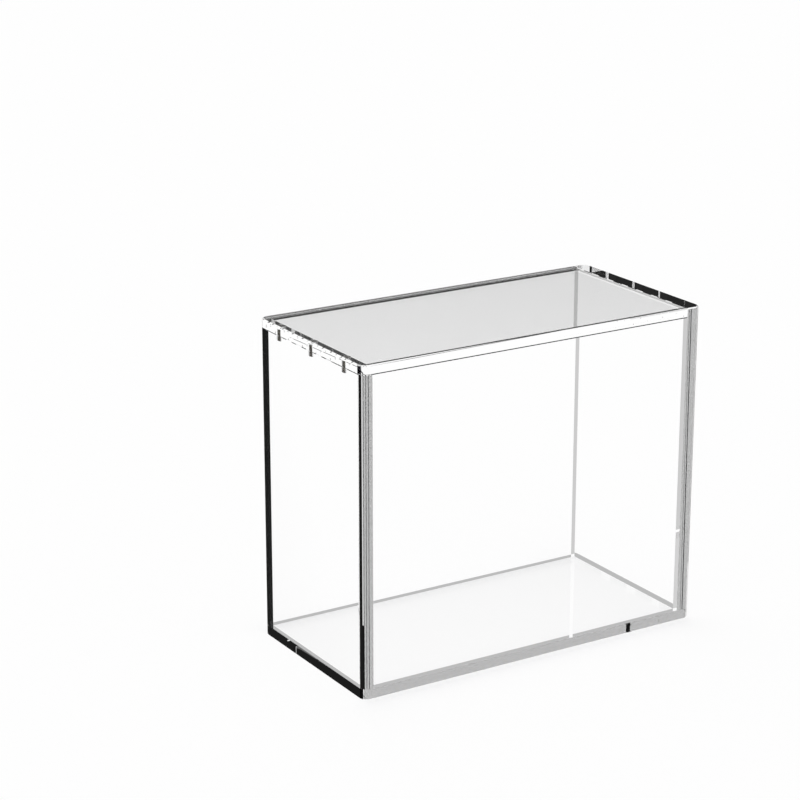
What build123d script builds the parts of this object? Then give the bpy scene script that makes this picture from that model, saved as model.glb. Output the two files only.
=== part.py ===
from build123d import *
import os

# A display case of clear cast acrylic for a boxed set of trading cards: a tray of five glued
# sheets, and a loose sheet for a lid that three pairs of disc magnets hold down at its left end.
# The wall at its right end is of thicker sheet, and rises beside the lid.
# Millimetres. +Z is up, the front faces -Y, and the origin is the middle of the underside.

# Driving sizes
outer_width = 211.0
outer_depth = 105.0
outer_height = 179.0
base_thickness = 6.0
wall_thickness = 6.0
end_wall_thickness = 9.4
lid_thickness = 5.0

# Edges: the case's upright corners are rounded after gluing, outer edges are diamond polished
# with a bevel, and the edges where the lid meets the tray have a finer one
corner_radius = 4.5
polished_bevel = 0.6
seam_bevel = 0.25

# The lid slides down beside the right wall with this much to spare
lid_end_clearance = 0.3

# Disc magnets, glued to the floors of blind pockets and just below the surface: one at the
# middle of the case's depth and one near each end of it
magnet_diameter = 4.0
magnet_height = 3.0
magnet_edge_bevel = 0.2
magnet_end_distance = 19.5
magnet_recess = 0.1
pocket_side_clearance = 0.05

# How far an edge may lie from a place and still be picked as the edge there
pick_margin = 0.001

# Places that follow from the sizes
half_width = outer_width / 2
half_depth = outer_depth / 2
lid_underside = outer_height - lid_thickness
wall_height = lid_underside - base_thickness
left_inner_x = -half_width + wall_thickness
right_inner_x = half_width - end_wall_thickness
magnet_x = -half_width + wall_thickness / 2
outer_magnet_y = half_depth - magnet_end_distance
magnet_rows = {
    "front": -outer_magnet_y,
    "middle": 0.0,
    "rear": outer_magnet_y,
}
pocket_depth = magnet_height + magnet_recess
pocket_radius = magnet_diameter / 2 + pocket_side_clearance


def sheet(left, right, front, back, underside, thickness):
    """A flat sheet between two heights, with square edges."""
    outline = Rectangle(right - left, back - front, align=(Align.MIN, Align.MIN))
    return extrude(Pos(left, front, underside) * outline, thickness)


def edges_at(edges, axis, place):
    """Those of the edges whose centres are at a place along an axis."""
    return edges.filter_by_position(axis, place - pick_margin, place + pick_margin)


def upright_edges_at(solid, x):
    """The two upright edges at one side of a sheet."""
    return edges_at(solid.edges().filter_by(Axis.Z), Axis.X, x)


def rim(solid, height):
    """The edges that lie flat at a height."""
    return edges_at(solid.edges(), Axis.Z, height)


def magnet_pockets(floor, mouth):
    """The row of blind holes for magnets, from their floors to their mouths."""
    low = min(floor, mouth)
    drill = Cylinder(pocket_radius, abs(mouth - floor), align=(Align.CENTER, Align.CENTER, Align.MIN))
    return [Pos(magnet_x, y, low) * drill for y in magnet_rows.values()]


def base_panel():
    """The floor of the tray, under all four walls."""
    base = sheet(-half_width, half_width, -half_depth, half_depth, 0, base_thickness)
    base = fillet(base.edges().filter_by(Axis.Z), corner_radius)
    return chamfer(rim(base, 0), polished_bevel)


def side_wall(inner_x, outer_x, height, top_bevel):
    """A wall over the tray's whole depth, whose outer upright edges are rounded.

    Its top edge is beveled on the three sides that stay free, and its inner one is left to
    the caller, because the lid lies over it on one side and stands beside it on the other.
    """
    left = min(inner_x, outer_x)
    right = max(inner_x, outer_x)
    wall = sheet(left, right, -half_depth, half_depth, base_thickness, height)
    wall = fillet(upright_edges_at(wall, outer_x), corner_radius)
    top = rim(wall, base_thickness + height)
    inner_edge = edges_at(top, Axis.X, inner_x)
    return chamfer(top - inner_edge, top_bevel)


def left_panel():
    """The wall that carries the lid's left end, with a row of magnet pockets in its top."""
    wall = side_wall(left_inner_x, -half_width, wall_height, seam_bevel)
    return wall - magnet_pockets(lid_underside - pocket_depth, lid_underside)


def right_panel():
    """The thicker wall that the lid butts against, as tall as the closed case."""
    wall = side_wall(right_inner_x, half_width, outer_height - base_thickness, polished_bevel)
    beside_lid = edges_at(rim(wall, outer_height), Axis.X, right_inner_x)
    return chamfer(beside_lid, seam_bevel)


def face_panel(outer_y):
    """The front or back wall, set between the side walls and flush with their edges."""
    inner_y = outer_y - wall_thickness if outer_y > 0 else outer_y + wall_thickness
    front = min(inner_y, outer_y)
    back = max(inner_y, outer_y)
    wall = sheet(left_inner_x, right_inner_x, front, back, base_thickness, wall_height)
    free_edge = edges_at(rim(wall, lid_underside), Axis.Y, outer_y)
    return chamfer(free_edge, seam_bevel)


def lid_panel():
    """The loose sheet on three walls, its right end close beside the taller wall."""
    left_x = -half_width
    right_x = right_inner_x - lid_end_clearance
    lid = sheet(left_x, right_x, -half_depth, half_depth, lid_underside, lid_thickness)
    lid = fillet(upright_edges_at(lid, left_x), corner_radius)
    lid = chamfer(rim(lid, lid_underside), seam_bevel)
    top = rim(lid, outer_height)
    beside_wall = edges_at(top, Axis.X, right_x)
    lid = chamfer(top - beside_wall, polished_bevel)
    lid = chamfer(edges_at(rim(lid, outer_height), Axis.X, right_x), seam_bevel)
    return lid - magnet_pockets(lid_underside + pocket_depth, lid_underside)


def magnet(y, seat):
    """A nickel-plated disc that stands on, or hangs from, its pocket's floor at the seat."""
    rises = seat < lid_underside
    end = Align.MIN if rises else Align.MAX
    disc = Cylinder(magnet_diameter / 2, magnet_height, align=(Align.CENTER, Align.CENTER, end))
    disc = chamfer(disc.edges().filter_by(GeomType.CIRCLE), magnet_edge_bevel)
    return Pos(magnet_x, y, seat) * disc


pieces = {
    "base_panel": base_panel(),
    "left_panel": left_panel(),
    "right_panel": right_panel(),
    "front_panel": face_panel(-half_depth),
    "back_panel": face_panel(half_depth),
    "lid_panel": lid_panel(),
}
for row, row_y in magnet_rows.items():
    pieces[f"wall_magnet_{row}"] = magnet(row_y, lid_underside - pocket_depth)
    pieces[f"lid_magnet_{row}"] = magnet(row_y, lid_underside + pocket_depth)

os.makedirs("parts", exist_ok=True)
for node, piece in pieces.items():
    export_step(piece, f"parts/{node}.step")
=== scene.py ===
import bmesh
import bpy
import math
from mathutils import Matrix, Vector

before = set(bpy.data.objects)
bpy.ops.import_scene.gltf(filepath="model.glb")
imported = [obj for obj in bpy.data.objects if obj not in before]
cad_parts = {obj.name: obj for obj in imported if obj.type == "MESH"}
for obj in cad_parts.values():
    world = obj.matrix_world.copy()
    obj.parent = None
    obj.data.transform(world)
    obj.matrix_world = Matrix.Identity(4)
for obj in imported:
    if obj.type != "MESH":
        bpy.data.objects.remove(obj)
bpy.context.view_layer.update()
print("frame loaded")

scene = bpy.context.scene
scene.view_settings.view_transform = "Standard"


def hexToLinear(code):
    levels = [int(code[at:at + 2], 16) / 255 for at in (1, 3, 5)]
    return [v / 12.92 if v <= 0.04045 else ((v + 0.055) / 1.055) ** 2.4 for v in levels]


def hexColour(code):
    return (*hexToLinear(code), 1.0)


white = hexColour("#ffffff")


def addNode(tree, kind, settings=None, values=None, links=None):
    # settings go on the node, values and links on its input sockets
    node = tree.nodes.new(kind)
    for name, value in (settings or {}).items():
        setattr(node, name, value)
    for socket, value in (values or {}).items():
        node.inputs[socket].default_value = value
    for socket, source in (links or {}).items():
        tree.links.new(source, node.inputs[socket])
    return node


def newMaterial(name):
    material = bpy.data.materials.new(name)
    material.use_nodes = True
    material.node_tree.nodes.clear()
    return material


def exactly(value, count):
    # the two tests that a whole count passes and its neighbours don't
    return [(value, "GREATER_THAN", count - 0.5), (value, "LESS_THAN", count + 0.5)]


def whereAll(tree, tests):
    # 1 where every test holds and 0 elsewhere; a test is a value, a comparison and its limit
    factor = None
    for value, comparison, limit in tests:
        test = addNode(tree, "ShaderNodeMath", {"operation": comparison}, {1: limit}, {0: value})
        if factor is None:
            factor = test
        else:
            factor = addNode(tree, "ShaderNodeMath", {"operation": "MULTIPLY"}, links={
                0: factor.outputs[0],
                1: test.outputs[0],
            })
    return factor.outputs[0]


# Clear cast acrylic sheet (PMMA): colourless, a little less refractive than window glass. Its
# faces are as cast and clear. Its sawn and polished edges are tinted grey, and the lid's near
# corner and the lines under its front edge are tinted dark, as painted shade; the lid's right end
# has a painted glow. A turn is light mirrored off a surface, and a pass is light let through one.
# Both are whole counts, so their limits lie between two of them.
acrylic = {
    "ior": 1.49,
    "slack": 0.00001,  # each sheet's, so that a hair of air lies in every joint and shows it
    "faintest": 0.1,  # mirroring fainter than this is left out, which keeps the faces clear
    "faceTint": "#ffffff",
    # the grey on the edges is painted shade
    "paintedEdgeShade": "#b8b8b8",
    # darker still: painted shade lines
    "paintedDarkLines": "#2c2c30",
    "faceShadow": "#ffffff",  # what reaches the floor through a face
    "edgeShadow": "#dcdcdf",  # and through an edge
    "longRun": 8.5,  # light with more turns has run a sheet's length
    "oneSheet": 2.5,  # light with more passes has been in another sheet too
}


def clearAcrylic(name, tint, paintedGlow=False, openOut=False):
    material = newMaterial(name)
    tree = material.node_tree
    path = addNode(tree, "ShaderNodeLightPath")
    turns = path.outputs["Glossy Depth"]
    passes = path.outputs["Transmission Depth"]
    inside = addNode(tree, "ShaderNodeNewGeometry").outputs["Backfacing"]
    # the tint dims light on its way into the sheet only
    dimmed = addNode(tree, "ShaderNodeMix", {"data_type": "RGBA"}, {
        6: hexColour(tint),
        7: white,
    }, {0: inside})
    through = addNode(tree, "ShaderNodeBsdfRefraction", values={
        "Roughness": 0.0,
        "IOR": acrylic["ior"],
    }, links={"Color": dimmed.outputs[2]})
    mirrored = addNode(tree, "ShaderNodeBsdfGlossy", values={"Color": white, "Roughness": 0.0})
    fresnel = addNode(tree, "ShaderNodeFresnel", values={"IOR": acrylic["ior"]})
    share = addNode(tree, "ShaderNodeMapRange", {"clamp": True}, {"From Min": acrylic["faintest"]}, {
        "Value": fresnel.outputs[0],
    })
    body = addNode(tree, "ShaderNodeMixShader", links={
        0: share.outputs[0],
        1: through.outputs[0],
        2: mirrored.outputs[0],
    })
    if paintedGlow:
        # painted glow: where light has run the sheet's whole length, the sheet gives out white light
        # of its own
        arrived = whereAll(tree, [
            (inside, "GREATER_THAN", 0),
            (turns, "GREATER_THAN", acrylic["longRun"]),
            (passes, "LESS_THAN", acrylic["oneSheet"]),
        ])
        glow = addNode(tree, "ShaderNodeEmission", values={"Color": white})
        body = addNode(tree, "ShaderNodeMixShader", links={
            0: arrived,
            1: body.outputs[0],
            2: glow.outputs[0],
        })
    if openOut:
        # light that has turned little leaves by the rounded corner as by a square end
        leaving = whereAll(tree, [
            (inside, "GREATER_THAN", 0),
            (turns, "LESS_THAN", acrylic["longRun"]),
        ])
        onward = addNode(tree, "ShaderNodeBsdfTransparent")
        body = addNode(tree, "ShaderNodeMixShader", links={
            0: leaving,
            1: body.outputs[0],
            2: onward.outputs[0],
        })
    # light on its way to other surfaces goes straight through, and only the edges shade it
    shade = acrylic["faceShadow"] if tint == acrylic["faceTint"] else acrylic["edgeShadow"]
    straight = addNode(tree, "ShaderNodeBsdfTransparent", values={"Color": hexColour(shade)})
    passing = addNode(tree, "ShaderNodeMath", {"operation": "MAXIMUM"}, links={
        0: path.outputs["Is Shadow Ray"],
        1: path.outputs["Is Diffuse Ray"],
    })
    whole = addNode(tree, "ShaderNodeMixShader", links={
        0: passing.outputs[0],
        1: body.outputs[0],
        2: straight.outputs[0],
    })
    addNode(tree, "ShaderNodeOutputMaterial", links={"Surface": whole.outputs[0]})
    return material


# Nickel plate on a pressed neodymium disc: a warm grey, softly blurred by the grain of the
# pressing, and darker than clean nickel as a painted reflection of the dark pocket it sits in
nickel = {
    # darker than clean nickel: painted reflection of the dark pocket
    "colour": "#716e69",
    "grain": 0.0005,  # half a millimetre, coarser than the real grain so that it shows
    "smooth": 0.14,
    "rough": 0.34,
}


def nickelPlate():
    material = newMaterial("nickelPlate")
    tree = material.node_tree
    place = addNode(tree, "ShaderNodeTexCoord").outputs["Object"]
    grain = addNode(tree, "ShaderNodeTexNoise", values={
        "Scale": 1 / nickel["grain"],
    }, links={"Vector": place})
    roughness = addNode(tree, "ShaderNodeMapRange", values={
        "To Min": nickel["smooth"],
        "To Max": nickel["rough"],
    }, links={"Value": grain.outputs[0]})
    metal = addNode(tree, "ShaderNodeBsdfPrincipled", values={
        "Base Color": hexColour(nickel["colour"]),
        "Metallic": 1.0,
    }, links={"Roughness": roughness.outputs[0]})
    addNode(tree, "ShaderNodeOutputMaterial", links={"Surface": metal.outputs[0]})
    return material


# Every sheet carries all of these, in this order
sheetMaterials = [
    clearAcrylic("clearCastAcrylic", acrylic["faceTint"]),
    # the grey edges and the dark lines are painted shade, and the lid's end is a painted glow
    clearAcrylic("polishedEdgePaintedShade", acrylic["paintedEdgeShade"]),
    clearAcrylic("darkLinePaintedShade", acrylic["paintedDarkLines"]),
    clearAcrylic("lidEndPaintedGlow", acrylic["faceTint"], paintedGlow=True),
    clearAcrylic("openCornerAcrylic", acrylic["faceTint"], openOut=True),
]
faceSlot, edgeShadeSlot, darkLineSlot, lidEndGlowSlot, openSlot = range(len(sheetMaterials))

# How far a face's normal has to lean one way to count as one of these
leaning = {
    "square": 0.9,  # a face that looks straight along an axis
    "bevel": 0.3,  # a bevel, and the most that an upright face may lean up or down
    "corner": 0.2,  # a rounded corner
    "cornerFront": 0.7,  # the part of a near corner that looks forwards
    "cornerSide": 0.85,  # the part of the lid's near corner that looks sideways
    "flat": 0.02,  # the most that a flat end may lean, beside that corner
}


def slotOf(name, normal):
    # which of the sheet materials a face has, by its sheet and the way it looks
    x, y, z = normal
    endOn = abs(y) > leaning["square"]
    upright = abs(z) < leaning["bevel"]
    if name in ("base_panel", "left_panel"):
        nearCorner = x < -leaning["corner"] and y < -leaning["cornerFront"] and upright
        # the end faces and the front of the near corner are tinted grey: painted shade
        return edgeShadeSlot if endOn or nearCorner else faceSlot
    if name == "right_panel":
        farCorner = min(x, y) > leaning["corner"] > abs(z)
        # the ends are tinted grey: painted shade
        return edgeShadeSlot if endOn else openSlot if farCorner else faceSlot
    if name == "lid_panel":
        # the seam under the front edge and the side of the near corner are tinted dark: painted
        # shade lines
        seam = max(y, z) < -leaning["bevel"]
        nearCorner = x < -leaning["cornerSide"] and -leaning["square"] < y < -leaning["flat"]
        # the right end carries the painted glow
        rightEnd = x > leaning["square"]
        return lidEndGlowSlot if rightEnd else darkLineSlot if seam or (nearCorner and upright) else faceSlot
    if name == "front_panel":
        # the top front bevel is tinted dark: a painted shade line
        return darkLineSlot if y < -leaning["bevel"] and z > leaning["bevel"] else faceSlot
    return faceSlot


nickelMaterial = nickelPlate()
for name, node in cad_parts.items():
    node.data.materials.clear()
    if "magnet" in name:
        node.data.materials.append(nickelMaterial)
        continue
    for material in sheetMaterials:
        node.data.materials.append(material)
    for face in node.data.polygons:
        face.material_index = slotOf(name, face.normal)
    slack = node.modifiers.new("jointSlack", "DISPLACE")
    slack.mid_level = 0.0
    slack.strength = -acrylic["slack"]
print("materials done")

# Camera: a long lens, over the front left corner, in degrees, metres and the lens's millimetres
camera = {
    "azimuth": -31.802,
    "elevation": 17.691,
    "distance": 1.42992,
    "target": (0.02988, 0.13048, 0.0895),
    "lens": 109.26,
    "sensor": 36.0,
    "near": 0.01,
}


def placeCamera():
    azimuth = math.radians(camera["azimuth"])
    elevation = math.radians(camera["elevation"])
    towards = Vector((
        math.sin(azimuth) * math.cos(elevation),
        -math.cos(azimuth) * math.cos(elevation),
        math.sin(elevation),
    ))
    lens = bpy.data.cameras.new("studioCamera")
    lens.lens = camera["lens"]
    lens.sensor_width = camera["sensor"]
    lens.clip_start = camera["near"]
    holder = bpy.data.objects.new("studioCamera", lens)
    holder.location = Vector(camera["target"]) + camera["distance"] * towards
    holder.rotation_euler = towards.to_track_quat("Z", "Y").to_euler()
    scene.collection.objects.link(holder)
    scene.camera = holder


placeCamera()

# Studio: white all round, as seen through the sheets. Light that has turned inside a sheet is
# greyer, and after a dozen turns it is lost, which draws the sheets' edges dark. Each list of
# tones holds a count of turns and the tone from there on, for the light that its note names.
studio = {
    "tones": {
        "down": [(0, 1.0), (1, 0.6), (2, 0.9), (4, 1.0), (13, 0.75), (14, 0.012)],  # level or down
        "up": [(0, 1.0), (1, 0.5), (2, 1.0), (13, 0.012)],  # upwards
        "front": [(0, 1.0), (1, 0.6), (2, 1.0), (9, 0.14), (13, 0.012)],  # forwards
        "crossed": [(0, 1.0), (1, 0.6), (2, 1.0), (9, 0.02), (13, 0.012)],  # forwards, by two sheets
        "outside": [(0, 0.03)],  # turned once, in one sheet alone
        "steep": [(0, 0.02)],  # let out steeply down by a rounded corner, with a single pass
    },
    "level": 0.1,  # the most that level light heads up, or sideways light forwards
    "steepFall": -0.5,  # steep light heads down by more than this
    "mostTurns": 32,  # the highest count that the lists can hold
    "bounces": 64,
}


def lightStudio():
    world = bpy.data.worlds.new("studio")
    scene.world = world
    world.use_nodes = True
    tree = world.node_tree
    tree.nodes.clear()
    path = addNode(tree, "ShaderNodeLightPath")
    turns = path.outputs["Glossy Depth"]
    passes = path.outputs["Transmission Depth"]
    share = addNode(tree, "ShaderNodeMath", {"operation": "DIVIDE"}, {
        1: studio["mostTurns"],
    }, {0: turns})
    coordinates = addNode(tree, "ShaderNodeTexCoord")
    heading = addNode(tree, "ShaderNodeSeparateXYZ", links={0: coordinates.outputs["Generated"]})
    upward = heading.outputs["Z"]
    backward = heading.outputs["Y"]
    tones = {}
    for name, steps in studio["tones"].items():
        ramp = addNode(tree, "ShaderNodeValToRGB", links={0: share.outputs[0]})
        ramp.color_ramp.interpolation = "CONSTANT"
        stops = ramp.color_ramp.elements
        stops.remove(stops[1])
        for count, tone in steps:
            # each step starts half a turn early, so that its count lies inside it
            stop = stops.new((count - 0.5) / studio["mostTurns"]) if count else stops[0]
            stop.color = (tone, tone, tone, 1.0)
        tones[name] = ramp.outputs[0]
    ahead = (backward, "LESS_THAN", -studio["level"])
    choices = [
        ("up", [(upward, "GREATER_THAN", studio["level"])]),
        ("front", [ahead]),
        ("crossed", [ahead, (passes, "GREATER_THAN", acrylic["oneSheet"])]),
        ("outside", [*exactly(turns, 1), (passes, "LESS_THAN", acrylic["oneSheet"])]),
        ("steep", [*exactly(passes, 1), (upward, "LESS_THAN", studio["steepFall"])]),
    ]
    tone = tones["down"]
    for name, tests in choices:
        # where two choices hold, the later one counts
        choice = addNode(tree, "ShaderNodeMix", {"data_type": "RGBA"}, links={
            0: whereAll(tree, tests),
            6: tone,
            7: tones[name],
        })
        tone = choice.outputs[2]
    glow = addNode(tree, "ShaderNodeBackground", links={"Color": tone})
    addNode(tree, "ShaderNodeOutputWorld", links={"Surface": glow.outputs[0]})
    scene.cycles.glossy_bounces = studio["bounces"]
    scene.cycles.transmission_bounces = studio["bounces"]
    scene.cycles.max_bounces = studio["bounces"]


lightStudio()

# Floor: plain white, shaded by what stands on it. Light that has turned inside a sheet goes on
# through it to the studio below.
floor = {
    "colour": "#fefefe",
    "size": 6.0,
    "drop": 0.0002,  # below the case, so that no two faces share a plane
}


def layFloor():
    shape = bmesh.new()
    bmesh.ops.create_grid(shape, x_segments=1, y_segments=1, size=floor["size"] / 2)
    bmesh.ops.translate(shape, verts=shape.verts, vec=(0, 0, -floor["drop"]))
    mesh = bpy.data.meshes.new("studioFloor")
    shape.to_mesh(mesh)
    shape.free()
    sheet = bpy.data.objects.new("studioFloor", mesh)
    scene.collection.objects.link(sheet)
    material = newMaterial("whitePaper")
    tree = material.node_tree
    paper = addNode(tree, "ShaderNodeBsdfDiffuse", values={"Color": hexColour(floor["colour"])})
    gone = addNode(tree, "ShaderNodeBsdfTransparent")
    path = addNode(tree, "ShaderNodeLightPath")
    whole = addNode(tree, "ShaderNodeMixShader", links={
        0: whereAll(tree, [(path.outputs["Glossy Depth"], "GREATER_THAN", 0)]),
        1: paper.outputs[0],
        2: gone.outputs[0],
    })
    addNode(tree, "ShaderNodeOutputMaterial", links={"Surface": whole.outputs[0]})
    mesh.materials.append(material)


layFloor()
print("camera, light and floor done")
